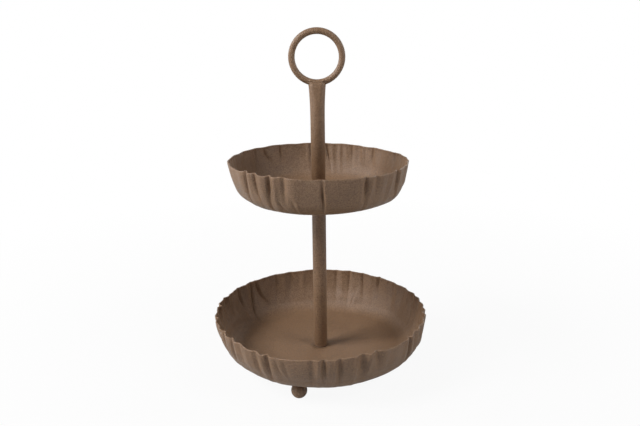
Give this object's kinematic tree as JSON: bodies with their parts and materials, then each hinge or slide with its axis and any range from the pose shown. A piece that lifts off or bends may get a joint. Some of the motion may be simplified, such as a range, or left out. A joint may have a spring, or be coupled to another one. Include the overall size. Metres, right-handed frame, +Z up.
{
  "type": "two-tier etagere",
  "caption": "Tiered serving stand: two crinkled metal bowls on a screwed centre post, with a ring handle on top and ball feet below.",
  "frame": {"origin": "on the table under the post, midway between the ball feet", "axes": "+Z up along the post, -Y towards the pictured front, +X to the right in that view; the ring lies in the XZ plane"},
  "size_m": [0.2802, 0.2804, 0.4415],
  "materials": {
    "coat": "matte",
    "bare_steel": "satin",
    "washer_rubber": "matte"
  },
  "bodies": {
    "stand": {"lower_tray": "coat", "lower_gasket": "washer_rubber", "lower_stem": "coat", "stem_bottom_plug": "bare_steel", "stem_top_plug": "bare_steel", "centre_stud": "bare_steel", "upper_gasket": "washer_rubber", "base_bolt": "bare_steel", "base_washer": "bare_steel", "foot_ball_front": "coat", "foot_ball_right": "coat", "foot_ball_left": "coat", "foot_weld_front": "coat", "foot_weld_right": "coat", "foot_weld_left": "coat"},
    "upper_bowl": {"upper_tray": "coat"},
    "handle_seat": {"handle_gasket": "washer_rubber"},
    "handle": {"handle_tube": "coat", "handle_plug": "bare_steel", "handle_ring": "coat", "ring_weld": "coat"}
  },
  "joints": [
    {"name": "upper_bowl_turn", "type": "hinge", "parent": "stand", "child": "upper_bowl", "pos_m": [0, 0, 0.233], "axis": [0, 0, 1], "continuous": true},
    {"name": "handle_rise", "type": "slide", "parent": "stand", "child": "handle_seat", "axis": [0, 0, 1], "range_m": [0, 0.01]},
    {"name": "handle_turn", "type": "hinge", "parent": "handle_seat", "child": "handle", "pos_m": [0, 0, 0.2344], "axis": [0, 0, 1], "range_deg": [0, 3600]}
  ],
  "couplings": [
    {"joint": "handle_rise", "follows": "handle_turn", "m_per_rad": 0.00015915}
  ]
}
